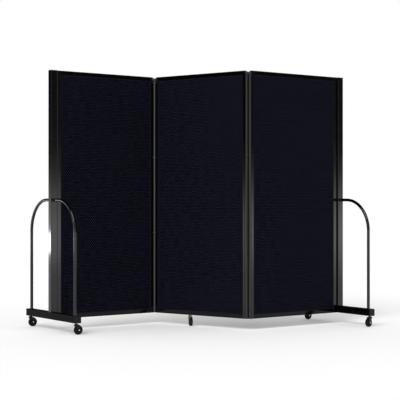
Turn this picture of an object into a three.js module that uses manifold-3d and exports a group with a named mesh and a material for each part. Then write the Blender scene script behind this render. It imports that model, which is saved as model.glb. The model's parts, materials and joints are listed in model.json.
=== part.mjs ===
// A folding privacy screen on wheels: three fabric panels in a zigzag, joined by two full-length hinges.
// Each free end has a square post on a base bar, an arched hoop through the post, and two swivel casters.
// A fifth caster stands under the middle panel.
// Millimetres, +Z up. The origin is on the floor under the centre of the middle panel, and -Y is the front.
import * as THREE from "three";
import { mergeVertices } from "three/addons/utils/BufferGeometryUtils.js";
import Module from "manifold-3d";

const wasm = await Module();
wasm.setup();

// Overall size
const screenHeight = 1830;
const floorGap = 79; // floor to the undersides of the panels and the base bars
const foldAngle = THREE.MathUtils.degToRad(35.8); // between each panel and the line across a hinge

// Clearances
const seatGap = 0.3; // between a piece and what it rests on or runs in
const cutOverrun = 2; // how far a cutting solid runs past the face that it opens
const weldDistance = 0.001; // vertices nearer than this are one vertex

// Panel frame
const fabricWidth = 757;
const stileFlat = 25; // from the edge of the fabric to the centre of the stile's round nose
const noseRadius = 9.5; // half of the frame's thickness
const railHeight = 30;
const railWeb = 4;
const channelHalfWidth = 7;
const channelDepth = 12; // of the groove in a stile that holds the core
const channelEndWall = 4;
const beadFrom = 6.5; // the shallow line beside a hinged stile's nose, from the pivot line
const beadTo = 10;
const beadDepth = 2.2;

// Panel filling
const coreInsert = 8; // how far the core enters its grooves
const fabricThickness = 1.2;
const fabricMargin = 1.5; // between the fabric's edge and the frame

// Hinges
const pivotSpacing = 25.5; // between the two pivots of one hinge
const rodRadius = 3.5;
const rodInset = 1; // from the panel's top and bottom to the rod's ends
const linkWaist = 3; // half width of a link plate between its round ends, which are flush with the noses
const linkThickness = 6;
const linkCount = 4;
const linkEndInset = 40; // from the panel's top and bottom to the middle of the end link plates
const blockRadius = 10.5; // half width of the link block at the top
const blockHeight = 16;
const blockDrop = 8.4; // from the panel's top to the block, where the rods' ends stand free
const slotClearance = 0.4;
const slotBackClearance = 1;
const webClearance = 0.6;
const webHalfDepth = 6;
const spineInset = 1;

// End posts and base bars
const postWidth = 50; // along the panel
const postDepth = 40;
const postGap = 0.8; // between the stile's nose and the post
const tubeWall = 2.5;
const barHeight = 50;
const barHalfLength = 355;
const capThickness = 3;
const capPlugDepth = 12;

// Hoops
const hoopHeight = 917; // floor to the middle of the tube at the top
const hoopEndInset = 39; // from the base bar's end to the middle of a leg
const hoopRadius = 11;
const hoopWall = 1.8;
const hoopBend = 225; // bend radius at the middle of the tube

// Casters
const stemEndInset = 24; // from the base bar's end to the swivel axis
const middleStemPlace = -90; // along the middle panel from its centre
const wheelRadius = 32;
const tyreWidth = 18;
const tyreRound = 5;
const hubRadius = 23;
const hubRimWidth = 2.5;
const hubWebHalf = 3;
const hubBossRadius = 7;
const trail = 15; // from the swivel axis to the axle
const axleRadius = 3;
const axleHeadRadius = 5.5;
const axleHeadLength = 4;
const axleHeadDome = 1.5;
const forkSideGap = 1.2; // between the tyre and each side of the fork
const forkPlate = 2;
const forkTopPlate = 3;
const forkTopRadius = 12.5;
const forkBossRadius = 8;
const wheelTopGap = 3; // between the tyre and the fork's top plate
const stemRadius = 6;
const stemFlangeRadius = 13;
const stemFlange = 3;
const stemRise = 14; // how far the stem enters the bar or rail
const stemHeadRadius = 8.5;
const stemHead = 1.2;
const collarRadius = 11;

// Facets
const arcSegments = 6; // three.js puts twice as many facets on each arc of an outline
const smallArcSegments = 4;
const pinFacets = 12;
const wheelFacets = 20;
const bendSteps = 8;

// What follows from them
const panelHeight = screenHeight - floorGap;
const panelPitch = fabricWidth + 2 * stileFlat; // between a panel's two pivot lines
const coreHalfDepth = channelHalfWidth - seatGap;
const forkInside = tyreWidth / 2 + forkSideGap; // half of the space between the fork's sides
const forkOutside = forkInside + forkPlate;
const forkTop = 2 * wheelRadius + wheelTopGap + forkTopPlate;
const barTop = floorGap + barHeight;
const hoopHalfSpan = barHalfLength - hoopEndInset;
const stemOffset = barHalfLength - stemEndInset; // from the post's centre along the base bar
const postCentreOffset = panelPitch / 2 + noseRadius + postGap + postWidth / 2;

// Finishes
function finish(color, roughness, metalness) {
  return new THREE.MeshStandardMaterial({ color, roughness, metalness });
}
const glossBlack = finish(0x1c1d1f, 0.28, 0.2);
const satinBlack = finish(0x18191b, 0.5, 0.1);
const blackFabric = finish(0x0f1017, 0.95, 0);
const boardGrey = finish(0x3a3a38, 0.9, 0);
const blackRubber = finish(0x101012, 0.7, 0);
const blackPlastic = finish(0x17181b, 0.45, 0);
const brightSteel = finish(0xc8cacc, 0.25, 1);

// Helpers: solids by joining and cutting closed geometries
function solidOf(geometry) {
  const bare = geometry.clone();
  bare.deleteAttribute("normal");
  bare.deleteAttribute("uv");
  const welded = mergeVertices(bare, weldDistance);
  const vertProperties = welded.attributes.position.array;
  const triVerts = new Uint32Array(welded.index.array);
  return new wasm.Manifold(new wasm.Mesh({ numProp: 3, vertProperties, triVerts }));
}

function geometryOf(solid) {
  const mesh = solid.getMesh();
  const geometry = new THREE.BufferGeometry();
  geometry.setAttribute("position", new THREE.BufferAttribute(mesh.vertProperties, 3));
  geometry.setIndex(new THREE.BufferAttribute(mesh.triVerts, 1));
  geometry.computeVertexNormals();
  return geometry;
}

function combine(joined, cut = []) {
  let solid = solidOf(joined[0]);
  for (const geometry of joined.slice(1)) solid = solid.add(solidOf(geometry));
  for (const geometry of cut) solid = solid.subtract(solidOf(geometry));
  return geometryOf(solid);
}

// A box from its lowest to its highest corner.
function boxBetween(low, high) {
  const size = high.map((value, i) => value - low[i]);
  const middle = high.map((value, i) => (value + low[i]) / 2);
  return new THREE.BoxGeometry(...size).translate(...middle);
}

// A round bar along Z from one height to another.
function roundBar(radius, low, high, x = 0, y = 0) {
  const bar = new THREE.CylinderGeometry(radius, radius, high - low, pinFacets);
  return bar.rotateX(Math.PI / 2).translate(x, y, (low + high) / 2);
}

function extrudeUp(shape, low, high, curveSegments = arcSegments) {
  const options = { depth: high - low, bevelEnabled: false, curveSegments };
  return new THREE.ExtrudeGeometry(shape, options).translate(0, 0, low);
}

// Turns a geometry so that its X, Y, Z run along Y, Z, X: a section drawn flat becomes a bar along X.
const upToX = new THREE.Matrix4().makeBasis(
  new THREE.Vector3(0, 1, 0),
  new THREE.Vector3(0, 0, 1),
  new THREE.Vector3(1, 0, 0),
);

function rectangle(halfWidth, halfHeight) {
  const shape = new THREE.Shape();
  shape.moveTo(-halfWidth, -halfHeight);
  shape.lineTo(halfWidth, -halfHeight);
  shape.lineTo(halfWidth, halfHeight);
  shape.lineTo(-halfWidth, halfHeight);
  shape.closePath();
  return shape;
}

// Panel pieces. A stile stands with its pivot line on Z and the panel towards +X.
const linkHeights = Array.from({ length: linkCount }, (_, i) =>
  THREE.MathUtils.lerp(linkEndInset, panelHeight - linkEndInset, i / (linkCount - 1)),
);
const blockUnder = panelHeight - blockDrop - blockHeight;

function stileSection() {
  const section = new THREE.Shape();
  section.moveTo(stileFlat, -noseRadius);
  section.lineTo(stileFlat, noseRadius);
  section.lineTo(0, noseRadius);
  section.absarc(0, 0, noseRadius, Math.PI / 2, (3 * Math.PI) / 2, false);
  section.closePath();
  return section;
}

// A cut through the whole thickness of a stile's nose, as far back as a link of this radius needs.
function noseCut(radius, low, high) {
  const outside = noseRadius + cutOverrun;
  return boxBetween([-outside, -outside, low], [radius + slotBackClearance, outside, high]);
}

function stile(hinged) {
  const bar = extrudeUp(stileSection(), 0, panelHeight);
  const groove = boxBetween(
    [stileFlat - channelDepth, -channelHalfWidth, channelEndWall],
    [stileFlat + cutOverrun, channelHalfWidth, panelHeight - channelEndWall],
  );
  if (!hinged) return combine([bar], [groove]);
  const past = panelHeight + cutOverrun;
  const bore = roundBar(rodRadius + seatGap, -cutOverrun, past);
  const slotHalf = linkThickness / 2 + slotClearance;
  const slots = linkHeights.map((height) => noseCut(noseRadius, height - slotHalf, height + slotHalf));
  const blockSeat = noseCut(blockRadius, blockUnder - slotClearance, past);
  const beads = [-1, 1].map((side) => {
    const middle = side * (noseRadius + (cutOverrun - beadDepth) / 2);
    const half = (beadDepth + cutOverrun) / 2;
    return boxBetween([beadFrom, middle - half, -cutOverrun], [beadTo, middle + half, past]);
  });
  return combine([bar], [groove, bore, ...slots, blockSeat, ...beads]);
}

// A rail lies along X with its web at the bottom and its groove open upwards.
function rail() {
  const section = new THREE.Shape();
  section.moveTo(-noseRadius, 0);
  section.lineTo(noseRadius, 0);
  section.lineTo(noseRadius, railHeight);
  section.lineTo(channelHalfWidth, railHeight);
  section.lineTo(channelHalfWidth, railWeb);
  section.lineTo(-channelHalfWidth, railWeb);
  section.lineTo(-channelHalfWidth, railHeight);
  section.lineTo(-noseRadius, railHeight);
  section.closePath();
  const halfLength = fabricWidth / 2 - seatGap;
  return extrudeUp(section, -halfLength, halfLength).applyMatrix4(upToX);
}

function railWithStemHole(place) {
  const hole = roundBar(stemRadius + seatGap, -cutOverrun, railWeb + cutOverrun, place);
  return combine([rail()], [hole]);
}

function core() {
  const halfWidth = fabricWidth / 2 + coreInsert;
  const low = railHeight - coreInsert;
  return boxBetween(
    [-halfWidth, -coreHalfDepth, low],
    [halfWidth, coreHalfDepth, panelHeight - low],
  );
}

function fabricSheet(side) {
  const halfWidth = fabricWidth / 2 - fabricMargin;
  const inner = side * (coreHalfDepth + seatGap);
  const outer = inner + side * fabricThickness;
  const low = railHeight + fabricMargin;
  return boxBetween(
    [-halfWidth, Math.min(inner, outer), low],
    [halfWidth, Math.max(inner, outer), panelHeight - low],
  );
}

// Hinge pieces, centred between their two pivot lines, which stand side by side along X.
function link(radius, waist, low, high) {
  const half = pivotSpacing / 2;
  const bare = Math.asin(waist / radius); // the part of each round end that the waist covers
  const shape = new THREE.Shape();
  shape.absarc(half, 0, radius, bare - Math.PI, Math.PI - bare, false);
  shape.absarc(-half, 0, radius, bare, 2 * Math.PI - bare, false);
  shape.closePath();
  for (const x of [-half, half]) {
    const hole = new THREE.Path();
    hole.absarc(x, 0, rodRadius + seatGap, 0, 2 * Math.PI, true);
    shape.holes.push(hole);
  }
  return extrudeUp(shape, low, high, smallArcSegments);
}

// The web closes the space between the noses. The half towards +Y is flared round them. The other half
// stays narrow, because folded flat the two stiles lie on both sides of it.
function webSection() {
  const half = pivotSpacing / 2;
  const round = noseRadius + webClearance;
  const flare = Math.asin(webHalfDepth / round);
  const section = new THREE.Shape();
  section.moveTo(round - half, -webHalfDepth);
  section.absarc(-half, 0, round, 0, flare, false);
  section.absarc(half, 0, round, Math.PI - flare, Math.PI, false);
  section.lineTo(half - round, -webHalfDepth);
  section.closePath();
  return section;
}

function hingeSpine() {
  const web = extrudeUp(webSection(), spineInset, blockUnder + blockHeight / 2, smallArcSegments);
  const block = link(blockRadius, blockRadius, blockUnder, blockUnder + blockHeight);
  const plates = linkHeights.map((height) =>
    link(noseRadius, linkWaist, height - linkThickness / 2, height + linkThickness / 2),
  );
  return combine([web, block, ...plates]);
}

function hingeRod(side) {
  return roundBar(rodRadius, rodInset, panelHeight - rodInset, (side * pivotSpacing) / 2);
}

// End unit pieces, with the post's centre line on Z and the base bar along Y.
function squareTube(halfWidth, halfHeight, low, high) {
  const section = rectangle(halfWidth, halfHeight);
  section.holes.push(rectangle(halfWidth - tubeWall, halfHeight - tubeWall));
  return extrudeUp(section, low, high);
}

const postTop = screenHeight - capThickness - seatGap;

function post() {
  const tube = squareTube(postWidth / 2, postDepth / 2, barTop + seatGap, postTop);
  const passage = new THREE.CylinderGeometry(
    hoopRadius + seatGap,
    hoopRadius + seatGap,
    postDepth + 2 * cutOverrun,
    wheelFacets,
  ).translate(0, 0, hoopHeight);
  return combine([tube], [passage]);
}

// A plate level with the panels' tops, and the plug under it that fills the post's mouth.
function postCap() {
  const under = screenHeight - capThickness;
  const plate = extrudeUp(rectangle(postWidth / 2, postDepth / 2), under, screenHeight);
  const inset = tubeWall + seatGap;
  const plugSection = rectangle(postWidth / 2 - inset, postDepth / 2 - inset);
  return combine([plate, extrudeUp(plugSection, under - capPlugDepth, under)]);
}

// The bar's ends are closed. Its two caster holes open into the hollow.
function baseBar() {
  const half = postWidth / 2;
  const bar = boxBetween([-half, -barHalfLength, floorGap], [half, barHalfLength, barTop]);
  const hollow = boxBetween(
    [-half + tubeWall, -barHalfLength + tubeWall, floorGap + tubeWall],
    [half - tubeWall, barHalfLength - tubeWall, barTop - tubeWall],
  );
  const holes = [-stemOffset, stemOffset].map((y) =>
    roundBar(stemRadius + seatGap, floorGap - cutOverrun, floorGap + tubeWall + cutOverrun, 0, y),
  );
  return combine([bar], [hollow, ...holes]);
}

// The hoop's middle line: up one leg, round two bends and down the other leg, in the plane of Y and Z.
class HoopLine extends THREE.Curve {
  constructor() {
    super();
    const bendHeight = hoopHeight - hoopBend;
    const bendCentre = hoopHalfSpan - hoopBend;
    const foot = barTop + seatGap;
    this.stations = [{ y: -hoopHalfSpan, z: foot, turn: 0 }];
    for (const [centre, from] of [[-bendCentre, 0], [bendCentre, Math.PI / 2]]) {
      for (let i = 0; i <= bendSteps; i++) {
        const turn = from + (Math.PI / 2) * (i / bendSteps);
        const y = centre - hoopBend * Math.cos(turn);
        this.stations.push({ y, z: bendHeight + hoopBend * Math.sin(turn), turn });
      }
    }
    this.stations.push({ y: hoopHalfSpan, z: foot, turn: Math.PI });
  }
  station(share) {
    return this.stations[Math.round(share * (this.stations.length - 1))];
  }
  getPointAt(share) {
    const { y, z } = this.station(share);
    return new THREE.Vector3(0, y, z);
  }
  getTangentAt(share) {
    const { turn } = this.station(share);
    return new THREE.Vector3(0, Math.sin(turn), Math.cos(turn));
  }
}

function hoop() {
  const line = new HoopLine();
  const section = new THREE.Shape().absarc(0, 0, hoopRadius, 0, 2 * Math.PI, false);
  const bore = new THREE.Path().absarc(0, 0, hoopRadius - hoopWall, 0, 2 * Math.PI, true);
  section.holes.push(bore);
  const steps = line.stations.length - 1;
  return new THREE.ExtrudeGeometry(section, { steps, curveSegments: pinFacets / 2, extrudePath: line });
}

// Caster pieces, with the swivel axis on Z from the floor up and the wheel trailing towards +X.
const axlePlace = [trail, 0, wheelRadius];

function lathe(points, facets) {
  const profile = points.map(([radius, along]) => new THREE.Vector2(radius, along));
  return new THREE.LatheGeometry(profile, facets);
}

function tyre() {
  const bore = hubRadius + seatGap;
  const half = tyreWidth / 2;
  const shoulder = wheelRadius - tyreRound;
  const cut = tyreRound * Math.SQRT1_2;
  const profile = [
    [bore, -half],
    [shoulder, -half],
    [shoulder + cut, -half + tyreRound - cut],
    [wheelRadius, -half + tyreRound],
    [wheelRadius, half - tyreRound],
    [shoulder + cut, half - tyreRound + cut],
    [shoulder, half],
    [bore, half],
    [bore, -half],
  ];
  return lathe(profile, wheelFacets).translate(...axlePlace);
}

function hub() {
  const bore = axleRadius + seatGap;
  const rim = tyreWidth / 2;
  const boss = forkInside - seatGap;
  const rimInside = hubRadius - hubRimWidth;
  const half = [
    [bore, boss],
    [hubBossRadius, boss],
    [hubBossRadius, hubWebHalf],
    [rimInside, hubWebHalf],
    [rimInside, rim],
    [hubRadius, rim],
  ];
  const other = half.map(([radius, along]) => [radius, -along]).reverse();
  const profile = [...half, ...other, half[0]].reverse();
  return lathe(profile, wheelFacets).translate(...axlePlace);
}

function axle() {
  const head = forkOutside + seatGap;
  const crown = head + axleHeadLength;
  const half = [
    [axleRadius, head],
    [axleHeadRadius, head],
    [axleHeadRadius, crown - axleHeadDome],
    [axleHeadRadius - axleHeadDome, crown],
    [0, crown],
  ];
  const other = half.map(([radius, along]) => [radius, -along]).reverse();
  return lathe([...other, ...half], pinFacets).translate(...axlePlace);
}

// One side of the fork, seen from the side: from the top plate down to the boss round the axle.
function forkSide() {
  const top = forkTop;
  const under = forkTop - forkTopPlate;
  const back = trail + forkBossRadius;
  const shape = new THREE.Shape();
  shape.moveTo(-forkTopRadius, top);
  shape.lineTo(-forkTopRadius, under);
  shape.lineTo(trail - forkBossRadius, wheelRadius);
  shape.absarc(trail, wheelRadius, forkBossRadius, Math.PI, 2 * Math.PI, false);
  shape.lineTo(back, under);
  shape.lineTo(forkTopRadius, top);
  shape.closePath();
  const plate = new THREE.ExtrudeGeometry(shape, {
    depth: forkPlate,
    bevelEnabled: false,
    curveSegments: smallArcSegments,
  });
  return plate.rotateX(Math.PI / 2);
}

function fork() {
  const under = forkTop - forkTopPlate;
  const collarTop = floorGap - seatGap - stemFlange - seatGap;
  const near = forkSide().translate(0, -forkInside, 0);
  const far = forkSide().translate(0, forkOutside, 0);
  const topPlate = boxBetween([-forkTopRadius, -forkOutside, under], [forkTopRadius, forkOutside, forkTop]);
  const collar = roundBar(collarRadius, under, collarTop);
  const stemBore = roundBar(stemRadius + seatGap, under - cutOverrun, collarTop + cutOverrun);
  const axleBore = new THREE.CylinderGeometry(
    axleRadius + seatGap,
    axleRadius + seatGap,
    2 * (forkOutside + cutOverrun),
    pinFacets,
  ).translate(...axlePlace);
  return combine([topPlate, near, far, collar], [stemBore, axleBore]);
}

function stem() {
  const flangeTop = floorGap - seatGap;
  const flangeUnder = flangeTop - stemFlange;
  const headTop = forkTop - forkTopPlate - seatGap;
  const headUnder = headTop - stemHead;
  const profile = [
    [0, headUnder],
    [stemHeadRadius, headUnder],
    [stemHeadRadius, headTop],
    [stemRadius, headTop],
    [stemRadius, flangeUnder],
    [stemFlangeRadius, flangeUnder],
    [stemFlangeRadius, flangeTop],
    [stemRadius, flangeTop],
    [stemRadius, flangeTop + stemRise],
    [0, flangeTop + stemRise],
  ];
  return lathe(profile, pinFacets).rotateX(Math.PI / 2);
}

// Assembly
const screen = new THREE.Group();

function add(group, name, geometry, material) {
  const mesh = new THREE.Mesh(geometry, material);
  mesh.name = name;
  group.add(mesh);
  return mesh;
}

function turnedGroup(parent, x, y, angle) {
  const group = new THREE.Group();
  group.position.set(x, y, 0);
  group.rotation.z = angle;
  parent.add(group);
  return group;
}

// The heading is the way that the wheel trails, as an angle from the screen's own +X.
function addCaster(parent, name, x, y, headingDegrees) {
  const heading = THREE.MathUtils.degToRad(headingDegrees);
  const group = turnedGroup(parent, x, y, heading - parent.rotation.z);
  add(group, name + "_stem", stem(), brightSteel);
  add(group, name + "_fork", fork(), satinBlack);
  add(group, name + "_axle", axle(), brightSteel);
  add(group, name + "_hub", hub(), blackPlastic);
  add(group, name + "_tyre", tyre(), blackRubber);
}

function addPanel(name, x, y, angle, leftHinged, rightHinged, bottomRail) {
  const group = turnedGroup(screen, x, y, angle);
  const leftStile = add(group, name + "_left_stile", stile(leftHinged), glossBlack);
  leftStile.position.set(-panelPitch / 2, 0, floorGap);
  const rightStile = add(group, name + "_right_stile", stile(rightHinged), glossBlack);
  rightStile.position.set(panelPitch / 2, 0, floorGap);
  rightStile.rotation.z = Math.PI;
  const topRail = add(group, name + "_top_rail", rail(), glossBlack);
  topRail.position.z = screenHeight;
  topRail.rotation.x = Math.PI;
  add(group, name + "_bottom_rail", bottomRail, glossBlack).position.z = floorGap;
  add(group, name + "_core", core(), boardGrey).position.z = floorGap;
  add(group, name + "_front_fabric", fabricSheet(-1), blackFabric).position.z = floorGap;
  add(group, name + "_back_fabric", fabricSheet(1), blackFabric).position.z = floorGap;
  return group;
}

function addHinge(name, x, y, turn) {
  const group = turnedGroup(screen, x, y, 0);
  const spine = add(group, name + "_hinge_spine", hingeSpine(), satinBlack);
  spine.position.z = floorGap;
  spine.rotation.z = turn;
  add(group, name + "_hinge_left_rod", hingeRod(-1), satinBlack).position.z = floorGap;
  add(group, name + "_hinge_right_rod", hingeRod(1), satinBlack).position.z = floorGap;
}

function addEndUnit(panel, name, side, frontHeading, backHeading) {
  const group = new THREE.Group();
  const place = side * postCentreOffset;
  add(group, name + "_post", post(), glossBlack);
  add(group, name + "_post_cap", postCap(), blackPlastic);
  add(group, name + "_base_bar", baseBar(), glossBlack);
  add(group, name + "_hoop", hoop(), glossBlack);
  group.position.x = place;
  panel.add(group);
  addCaster(panel, name + "_front_caster", place, -stemOffset, frontHeading);
  addCaster(panel, name + "_back_caster", place, stemOffset, backHeading);
}

// From the middle panel's right pivot line, across the hinge, to the right panel's centre.
// The left side is the same, turned half round.
const pivotX = (panelPitch / 2) * Math.cos(foldAngle);
const pivotY = -(panelPitch / 2) * Math.sin(foldAngle);
const hingeX = pivotX + pivotSpacing / 2;
const sideX = pivotX + pivotSpacing + (panelPitch / 2) * Math.cos(foldAngle);
const sideY = pivotY + (panelPitch / 2) * Math.sin(foldAngle);

const leftPanel = addPanel("left", -sideX, -sideY, foldAngle, false, true, rail());
const middlePanel = addPanel("middle", 0, 0, -foldAngle, true, true, railWithStemHole(middleStemPlace));
const rightPanel = addPanel("right", sideX, sideY, foldAngle, true, false, rail());
addHinge("left", -hingeX, -pivotY, 0);
addHinge("right", hingeX, pivotY, Math.PI);
addEndUnit(leftPanel, "left", -1, 35, 30);
addEndUnit(rightPanel, "right", 1, 225, 220);
addCaster(middlePanel, "middle_caster", middleStemPlace, 0, -73);

export default screen;
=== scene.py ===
import json
import math

import bmesh
import bpy
from mathutils import Matrix, Vector, noise

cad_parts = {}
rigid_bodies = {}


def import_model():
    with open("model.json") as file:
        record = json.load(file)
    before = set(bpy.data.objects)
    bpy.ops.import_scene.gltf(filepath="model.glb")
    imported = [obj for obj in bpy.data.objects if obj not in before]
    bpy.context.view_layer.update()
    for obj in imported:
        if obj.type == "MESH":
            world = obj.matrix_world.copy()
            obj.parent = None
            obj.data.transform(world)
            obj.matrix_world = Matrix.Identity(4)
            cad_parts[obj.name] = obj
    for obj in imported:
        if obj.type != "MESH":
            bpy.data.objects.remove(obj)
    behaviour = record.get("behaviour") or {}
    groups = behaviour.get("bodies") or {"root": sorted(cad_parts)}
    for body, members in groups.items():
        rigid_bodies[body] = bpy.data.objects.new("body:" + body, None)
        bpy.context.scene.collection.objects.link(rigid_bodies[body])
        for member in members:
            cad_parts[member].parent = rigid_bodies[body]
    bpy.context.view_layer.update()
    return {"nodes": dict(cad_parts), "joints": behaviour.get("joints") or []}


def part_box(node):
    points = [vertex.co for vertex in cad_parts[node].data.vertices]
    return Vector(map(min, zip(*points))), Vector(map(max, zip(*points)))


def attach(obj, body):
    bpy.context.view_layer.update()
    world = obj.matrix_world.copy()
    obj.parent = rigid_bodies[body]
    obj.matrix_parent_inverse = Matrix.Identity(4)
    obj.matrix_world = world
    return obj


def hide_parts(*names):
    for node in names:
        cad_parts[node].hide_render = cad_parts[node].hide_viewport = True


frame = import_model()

mm = 0.001
seat = 0.3 * mm  # gap between two pieces that meet
overrun = 2 * mm  # how far a drill or a saw runs past the piece
overlap = 1 * mm  # how far a joined shape runs into its neighbour
near = 0.1 * mm  # corners closer than this are level
mergeGap = 0.002 * mm
facets = {"bore": 24, "bolt": 32, "collar": 36, "pin": 40, "wheel": 64}  # steps of a turned shape
print("frame: loaded,", len(frame["nodes"]), "nodes")

# The camera stands square to the screen, level with the tops of the hoops.
cameraSizes = {"place": (0.004, -8.523, 0.917), "lens": 105.77, "sensor": 36, "yaw": math.radians(0.03)}
camera = bpy.data.objects.new("camera", bpy.data.cameras.new("camera"))
camera.data.lens = cameraSizes["lens"]
camera.data.sensor_width = cameraSizes["sensor"]
camera.location = cameraSizes["place"]
camera.rotation_euler = (math.pi / 2, 0, cameraSizes["yaw"])
bpy.context.scene.collection.objects.link(camera)
bpy.context.scene.camera = camera
print("camera: placed")

# Places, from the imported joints
joints = {joint["name"]: joint for joint in frame["joints"]}


def pivot(name):
    return Vector(joints[name]["pos_m"])


pitch = (pivot("right_link_fold") - pivot("left_link_fold")).length
across = pivot("right_link_fold") - pivot("left_link_fold")
fold = -math.atan2(across.y, across.x)
outward = Vector((math.cos(fold), math.sin(fold), 0)) * pitch / 2
panelTurn = {"left": fold, "middle": -fold, "right": fold}
panelCentre = {
    "left": pivot("left_panel_fold") - outward,
    "middle": Vector((0, 0, 0)),
    "right": pivot("right_panel_fold") + outward,
}
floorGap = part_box("middle_left_stile")[0][2]
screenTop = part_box("middle_left_stile")[1][2]
panelHeight = screenTop - floorGap


def panelMatrix(name):
    return Matrix.Translation(panelCentre[name]) @ Matrix.Rotation(panelTurn[name], 4, "Z")


# Shaders
def tone(red, green, blue):
    channels = [value / 255 for value in (red, green, blue)]
    linear = [c / 12.92 if c <= 0.04045 else ((c + 0.055) / 1.055) ** 2.4 for c in channels]
    return (*linear, 1)


class Wire:  # a shader socket that takes sums
    def __init__(self, shader, socket):
        self.shader, self.socket = shader, socket

    def sum(self, operation, first, second):
        return self.shader.node("ShaderNodeMath", {"operation": operation}, {0: first, 1: second})

    def __add__(self, other):
        return self.sum("ADD", self, other)

    def __radd__(self, other):
        return self.sum("ADD", other, self)

    def __mul__(self, other):
        return self.sum("MULTIPLY", self, other)

    def __rmul__(self, other):
        return self.sum("MULTIPLY", other, self)


class Shader:
    def __init__(self, name, owner=None):
        self.owner = owner or bpy.data.materials.new(name)
        self.owner.use_nodes = True
        self.tree = self.owner.node_tree

    def node(self, kind, settings=None, inputs=None, output=0):
        made = self.tree.nodes.new(kind)
        for key, value in (settings or {}).items():
            if key == "stops":
                ramp = made.color_ramp
                while len(ramp.elements) < len(value):
                    ramp.elements.new(0.5)
                for element, (position, colour) in zip(ramp.elements, value):
                    element.position, element.color = position, colour
                ramp.interpolation = "EASE"
            else:
                setattr(made, key, value)
        for key, value in (inputs or {}).items():
            self.feed(made.inputs[key], value)
        return Wire(self, made.outputs[output])

    def feed(self, target, value):
        if isinstance(value, Wire):
            self.tree.links.new(value.socket, target)
        else:
            target.default_value = value

    def surface(self, **inputs):
        names = {
            "colour": "Base Color",
            "roughness": "Roughness",
            "metallic": "Metallic",
            "coat": "Coat Weight",
            "coatRoughness": "Coat Roughness",
            "specular": "Specular IOR Level",
            "sheen": "Sheen Weight",
            "sheenRoughness": "Sheen Roughness",
            "normal": "Normal",
        }
        for key, value in inputs.items():
            self.feed(self.tree.nodes["Principled BSDF"].inputs[names[key]], value)
        return self.owner

    def place(self, turn=0, stretch=(1, 1, 1)):
        coordinates = self.node("ShaderNodeTexCoord", output="Object")
        placing = {"Vector": coordinates, "Rotation": (0, 0, turn), "Scale": stretch}
        return self.node("ShaderNodeMapping", {"vector_type": "TEXTURE"}, placing)

    def noise(self, place, scale, detail=2, roughness=0.5):
        inputs = {"Vector": place, "Scale": scale, "Detail": detail, "Roughness": roughness}
        return self.node("ShaderNodeTexNoise", None, inputs)

    def between(self, amount, low, high):
        limits = {"From Min": low, "From Max": high, "Value": amount}
        return self.node("ShaderNodeMapRange", {"clamp": True}, limits)

    def mix(self, amount, first, second):
        settings = {"data_type": "RGBA"}
        return self.node("ShaderNodeMix", settings, {"Factor": amount, 6: first, 7: second}, output=2)

    def bump(self, height, strength, distance):
        relief = {"Height": height, "Strength": strength, "Distance": distance}
        return self.node("ShaderNodeBump", None, relief)


# Gloss black, with faint drawing lines along the bar and a thin haze of handling marks
glossBlack = {
    "paint": tone(2, 2, 3),
    "haze": tone(9, 9, 11),
    "roughness": 0.075,
    "hazeNoise": {"scale": 7, "detail": 4, "roughness": 0.6},
    "hazeRange": (0.42, 0.75),
    "hazeShare": 0.3,
    "hazeRoughness": 0.035,
    "dustNoise": {"scale": 1400, "detail": 1},
    "dustRange": (0.72, 0.8),
    "dustShare": 0.25,
    "lineNoise": {"scale": 900, "roughness": 0.6},
    "lineStretch": 60,
    "lineRoughness": 0.015,
    "lineBump": 0.5,
    "lineDepth": 0.03 * mm,
}


def glossBlackLook(name, turn, direction, specular):
    shader, look = Shader(name), glossBlack
    stretch = [1, 1, 1]
    stretch["xyz".index(direction)] = look["lineStretch"]
    lines = shader.noise(shader.place(turn, stretch), **look["lineNoise"])
    plain = shader.place(turn)
    haze = shader.between(shader.noise(plain, **look["hazeNoise"]), *look["hazeRange"])
    dust = shader.between(shader.noise(plain, **look["dustNoise"]), *look["dustRange"])
    worn = haze * look["hazeShare"] + dust * look["dustShare"]
    return shader.surface(
        colour=shader.mix(worn, look["paint"], look["haze"]),
        roughness=look["roughness"] + haze * look["hazeRoughness"] + lines * look["lineRoughness"],
        specular=specular,
        normal=shader.bump(lines, look["lineBump"], look["lineDepth"]),
    )


# Near-black cloth with a faint blue cast: a staggered dot pattern over a fine plain weave
panelCloth = {
    "ground": tone(1, 1, 3),
    "dot": tone(64, 64, 90),
    "dotWidth": 15.7 * mm,
    "dotHeight": 21.4 * mm,
    "dotRange": (0.4, 0.85),
    "yarn": 1.3 * mm,
    "slub": (22, 95, 1),
    "slubRange": (0.38, 0.62),
    "fuzzNoise": {"scale": 900, "detail": 3, "roughness": 0.7},
    "fadingNoise": {"scale": 3.5, "detail": 3},
    "fadingRange": (0.35, 0.7),
    "shade": {"dots": 0.2, "slub": 0.75, "yarns": 0.006, "fuzz": 0.01, "fading": 0.008},
    "relief": {"yarns": 0.5, "ribs": 0.2, "dots": 0.6, "fuzz": 0.4},
    "roughness": 0.86,
    "fuzzRoughness": 0.14,
    "specular": 0.03,
    "sheen": 0.01,
    "sheenRoughness": 0.5,
    "bump": 0.8,
    "weaveDepth": 0.25 * mm,
}


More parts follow.
